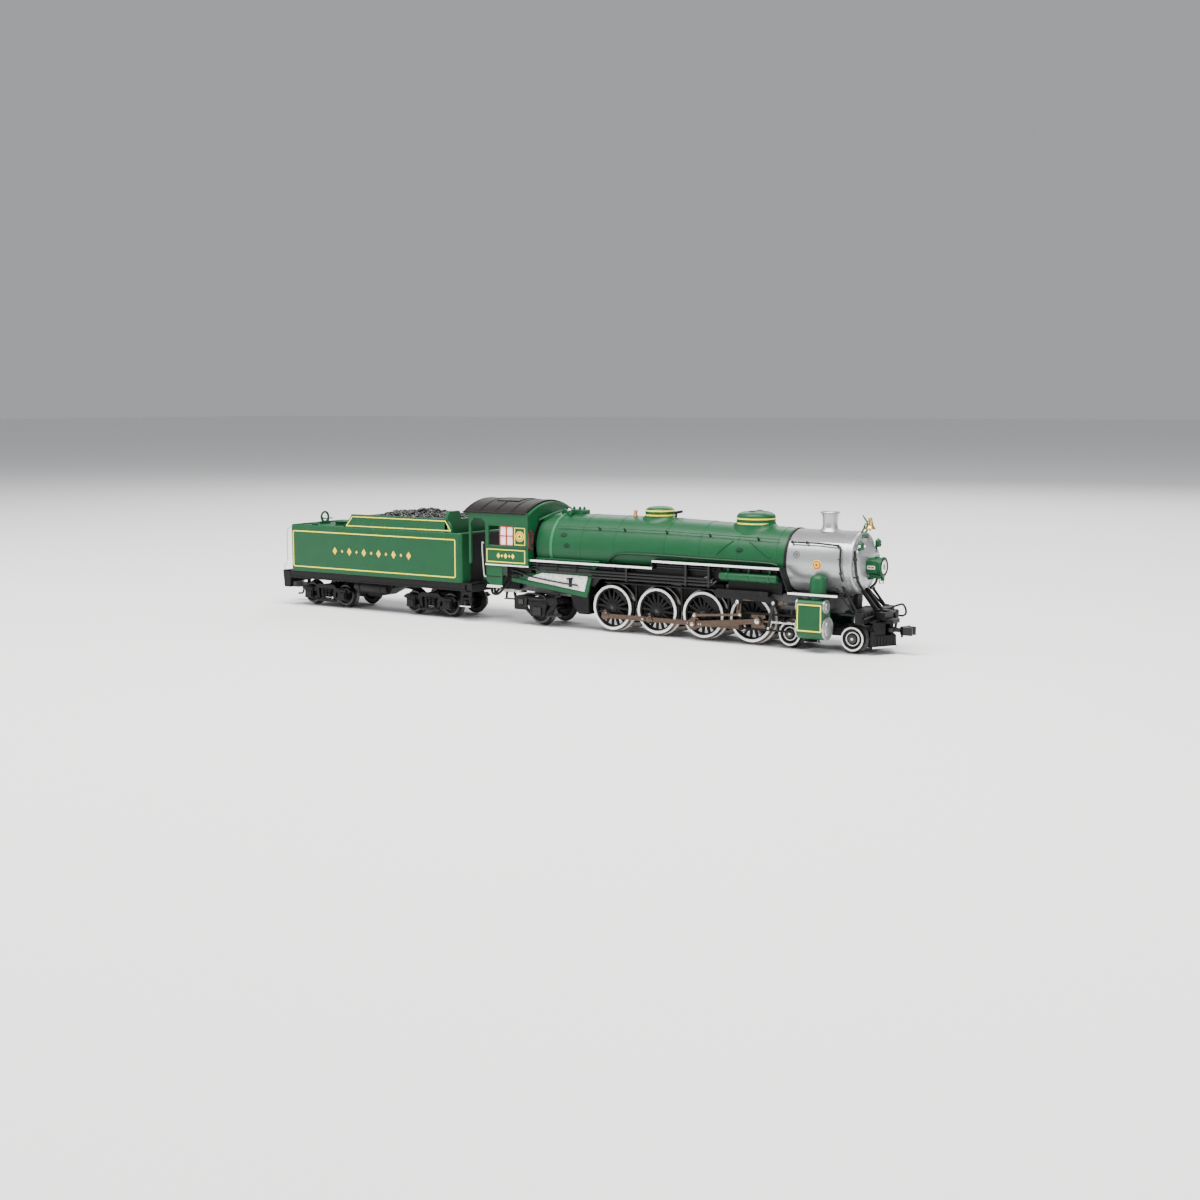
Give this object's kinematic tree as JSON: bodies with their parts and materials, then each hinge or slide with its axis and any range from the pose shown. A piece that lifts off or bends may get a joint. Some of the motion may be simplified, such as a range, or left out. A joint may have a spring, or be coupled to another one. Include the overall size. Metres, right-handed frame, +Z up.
{
  "type": "model steam locomotive",
  "caption": "Small-scale model of a steam locomotive with its tender: wheels roll, rods and valve gear move, trucks swivel, and the tender swings on a drawbar.",
  "frame": {"origin": "centre of the bounding box at the bottom, on the plane that the wheel flanges stand on", "axes": "+X forwards along the locomotive, +Y to its left, +Z up"},
  "size_m": [0.171, 0.0196, 0.0286],
  "materials": {
    "green": "satin dark green paint over moulded plastic",
    "black": "matt black moulded plastic",
    "silver": "bright silver paint",
    "roof": "matt black-brown paint",
    "rod": "blackened bronze-coloured plated metal",
    "steel": "bare steel",
    "brass": "turned brass",
    "metal": "dark die-cast metal",
    "coal": "rough black moulded coal"
  },
  "bodies": {
    "chassis": {"loco_frame": "metal", "keeper_plate": "black", "motor": "metal", "boiler_shell": "green", "smokebox": "silver", "smokebox_front": "silver", "smokestack": "silver", "steam_dome": "green", "sand_dome": "green", "headlight": "green", "cab": "green", "cab_roof": "roof", "running_board_right": "black", "running_board_left": "black", "cylinder_right": "green", "cylinder_left": "green", "crosshead_guide_right": "black", "crosshead_guide_left": "black", "pilot": "black"},
    "main_driver": {"main_axle_gear": "steel", "main_driver_right": "black", "main_driver_left": "black", "return_crank_right": "rod", "return_crank_left": "rod"},
    "driver_1": {"driver_1_right_and_axle": "black", "driver_1_left": "black"},
    "driver_3": {"driver_3_right_and_axle": "black", "driver_3_left": "black"},
    "driver_4": {"driver_4_right_and_axle": "black", "driver_4_left": "black"},
    "worm_shaft": {"worm_shaft_flywheel": "brass"},
    "pilot_truck": {"pilot_truck_frame": "black"},
    "pilot_wheels_front": {"pilot_wheelset_front": "black"},
    "pilot_wheels_rear": {"pilot_wheelset_rear": "black"},
    "trailing_truck": {"trailing_truck_frame": "black"},
    "trailing_wheels": {"trailing_wheelset": "black"},
    "coupler_front": {"front_coupler": "black"},
    "coupler_rear": {"rear_coupler": "black"},
    "drawbar_link": {"drawbar": "steel"},
    "tender": {"tender_body": "green", "tender_floor": "black", "coal_load": "coal"},
    "truck_front": {"tender_truck_front": "black"},
    "truck_rear": {"tender_truck_rear": "black"},
    "wheels_front_1": {"tender_wheelset_front_1": "black"},
    "wheels_front_2": {"tender_wheelset_front_2": "black"},
    "wheels_rear_1": {"tender_wheelset_rear_1": "black"},
    "wheels_rear_2": {"tender_wheelset_rear_2": "black"},
    "side_rod_right_body": {"side_rod_right": "rod"},
    "main_rod_right_body": {"main_rod_right": "rod"},
    "eccentric_rod_right_body": {"eccentric_rod_right": "rod"},
    "crosshead_right_body": {"crosshead_right": "rod"},
    "expansion_link_right_body": {"expansion_link_right": "rod"},
    "combination_lever_right_body": {"combination_lever_right": "black"},
    "side_rod_left_body": {"side_rod_left": "rod"},
    "main_rod_left_body": {"main_rod_left": "rod"},
    "eccentric_rod_left_body": {"eccentric_rod_left": "rod"},
    "crosshead_left_body": {"crosshead_left": "rod"},
    "expansion_link_left_body": {"expansion_link_left": "rod"},
    "combination_lever_left_body": {"combination_lever_left": "black"}
  },
  "joints": [
    {"name": "main_driver_roll", "type": "hinge", "parent": "chassis", "child": "main_driver", "pos_m": [0.03968, 0, 0.0056], "axis": [0, 1, 0], "continuous": true},
    {"name": "driver_1_roll", "type": "hinge", "parent": "chassis", "child": "driver_1", "pos_m": [0.05127, 0, 0.0056], "axis": [0, 1, 0], "continuous": true},
    {"name": "driver_3_roll", "type": "hinge", "parent": "chassis", "child": "driver_3", "pos_m": [0.02809, 0, 0.0056], "axis": [0, 1, 0], "continuous": true},
    {"name": "driver_4_roll", "type": "hinge", "parent": "chassis", "child": "driver_4", "pos_m": [0.0165, 0, 0.0056], "axis": [0, 1, 0], "continuous": true},
    {"name": "worm_spin", "type": "hinge", "parent": "chassis", "child": "worm_shaft", "pos_m": [0.0165, 0, 0.0105], "axis": [1, 0, 0], "continuous": true},
    {"name": "side_rod_right_pin", "type": "hinge", "parent": "main_driver", "child": "side_rod_right_body", "pos_m": [0.0382, -0.0062, 0.00371], "axis": [0, 1, 0], "continuous": true},
    {"name": "main_rod_right_pin", "type": "hinge", "parent": "main_driver", "child": "main_rod_right_body", "pos_m": [0.0382, -0.0073, 0.00371], "axis": [0, 1, 0], "continuous": true},
    {"name": "eccentric_rod_right_pin", "type": "hinge", "parent": "main_driver", "child": "eccentric_rod_right_body", "pos_m": [0.039, -0.0081, 0.00573], "axis": [0, 1, 0], "continuous": true},
    {"name": "crosshead_right_slide", "type": "slide", "parent": "chassis", "child": "crosshead_right_body", "axis": [1, 0, 0], "range_m": [-0.00083, 0.00397]},
    {"name": "expansion_link_right_rock", "type": "hinge", "parent": "chassis", "child": "expansion_link_right_body", "pos_m": [0.0496, -0.00775, 0.00935], "axis": [0, 1, 0], "range_deg": [-14, 14]},
    {"name": "combination_lever_right_rock", "type": "hinge", "parent": "chassis", "child": "combination_lever_right_body", "pos_m": [0.0582, -0.00895, 0.0097], "axis": [0, 1, 0], "range_deg": [-38, 6]},
    {"name": "side_rod_left_pin", "type": "hinge", "parent": "main_driver", "child": "side_rod_left_body", "pos_m": [0.04157, 0.0062, 0.00412], "axis": [0, 1, 0], "continuous": true},
    {"name": "main_rod_left_pin", "type": "hinge", "parent": "main_driver", "child": "main_rod_left_body", "pos_m": [0.04157, 0.0073, 0.00412], "axis": [0, 1, 0], "continuous": true},
    {"name": "eccentric_rod_left_pin", "type": "hinge", "parent": "main_driver", "child": "eccentric_rod_left_body", "pos_m": [0.03955, 0.0081, 0.00492], "axis": [0, 1, 0], "continuous": true},
    {"name": "crosshead_left_slide", "type": "slide", "parent": "chassis", "child": "crosshead_left_body", "axis": [1, 0, 0], "range_m": [-0.00424, 0.00056]},
    {"name": "expansion_link_left_rock", "type": "hinge", "parent": "chassis", "child": "expansion_link_left_body", "pos_m": [0.0496, 0.00775, 0.00935], "axis": [0, 1, 0], "range_deg": [-14, 14]},
    {"name": "combination_lever_left_rock", "type": "hinge", "parent": "chassis", "child": "combination_lever_left_body", "pos_m": [0.0582, 0.00895, 0.0097], "axis": [0, 1, 0], "range_deg": [-4, 44]},
    {"name": "pilot_truck_swivel", "type": "hinge", "parent": "chassis", "child": "pilot_truck", "pos_m": [0.058, 0, 0.0056], "axis": [0, 0, 1], "range_deg": [-5, 5]},
    {"name": "pilot_wheels_front_roll", "type": "hinge", "parent": "pilot_truck", "child": "pilot_wheels_front", "pos_m": [0.07442, 0, 0.0031], "axis": [0, 1, 0], "continuous": true},
    {"name": "pilot_wheels_rear_roll", "type": "hinge", "parent": "pilot_truck", "child": "pilot_wheels_rear", "pos_m": [0.06033, 0, 0.0031], "axis": [0, 1, 0], "continuous": true},
    {"name": "trailing_truck_swivel", "type": "hinge", "parent": "chassis", "child": "trailing_truck", "pos_m": [0.0045, 0, 0.0056], "axis": [0, 0, 1], "range_deg": [-7, 7]},
    {"name": "trailing_wheels_roll", "type": "hinge", "parent": "trailing_truck", "child": "trailing_wheels", "pos_m": [-0.0031, 0, 0.0035], "axis": [0, 1, 0], "continuous": true},
    {"name": "front_coupler_swing", "type": "hinge", "parent": "chassis", "child": "coupler_front", "pos_m": [0.0804, 0, 0.0049], "axis": [0, 0, 1], "range_deg": [-10, 10]},
    {"name": "drawbar_swing", "type": "hinge", "parent": "chassis", "child": "drawbar_link", "pos_m": [-0.0128, 0, 0.0069], "axis": [0, 0, 1], "range_deg": [-15, 15]},
    {"name": "tender_swing", "type": "hinge", "parent": "drawbar_link", "child": "tender", "pos_m": [-0.0248, 0, 0.0069], "axis": [0, 0, 1], "range_deg": [-15, 15]},
    {"name": "tender_truck_front_swivel", "type": "hinge", "parent": "tender", "child": "truck_front", "pos_m": [-0.0349, 0, 0.0051], "axis": [0, 0, 1], "range_deg": [-12, 12]},
    {"name": "tender_wheels_front_1_roll", "type": "hinge", "parent": "truck_front", "child": "wheels_front_1", "pos_m": [-0.02935, 0, 0.0032], "axis": [0, 1, 0], "continuous": true},
    {"name": "tender_wheels_front_2_roll", "type": "hinge", "parent": "truck_front", "child": "wheels_front_2", "pos_m": [-0.04045, 0, 0.0032], "axis": [0, 1, 0], "continuous": true},
    {"name": "tender_truck_rear_swivel", "type": "hinge", "parent": "tender", "child": "truck_rear", "pos_m": [-0.06835, 0, 0.0051], "axis": [0, 0, 1], "range_deg": [-12, 12]},
    {"name": "tender_wheels_rear_1_roll", "type": "hinge", "parent": "truck_rear", "child": "wheels_rear_1", "pos_m": [-0.0628, 0, 0.0032], "axis": [0, 1, 0], "continuous": true},
    {"name": "tender_wheels_rear_2_roll", "type": "hinge", "parent": "truck_rear", "child": "wheels_rear_2", "pos_m": [-0.0739, 0, 0.0032], "axis": [0, 1, 0], "continuous": true},
    {"name": "rear_coupler_swing", "type": "hinge", "parent": "tender", "child": "coupler_rear", "pos_m": [-0.0805, 0, 0.0044], "axis": [0, 0, 1], "range_deg": [-10, 10]}
  ],
  "couplings": [
    {"joint": "driver_1_roll", "follows": "main_driver_roll", "ratio": 1},
    {"joint": "driver_3_roll", "follows": "main_driver_roll", "ratio": 1},
    {"joint": "driver_4_roll", "follows": "main_driver_roll", "ratio": 1},
    {"joint": "worm_spin", "follows": "main_driver_roll", "ratio": 24},
    {"joint": "side_rod_right_pin", "follows": "main_driver_roll", "ratio": -1},
    {"joint": "main_rod_right_pin", "follows": "main_driver_roll", "ratio": -1},
    {"joint": "eccentric_rod_right_pin", "follows": "main_driver_roll", "ratio": -1},
    {"joint": "side_rod_left_pin", "follows": "main_driver_roll", "ratio": -1},
    {"joint": "main_rod_left_pin", "follows": "main_driver_roll", "ratio": -1},
    {"joint": "eccentric_rod_left_pin", "follows": "main_driver_roll", "ratio": -1}
  ]
}
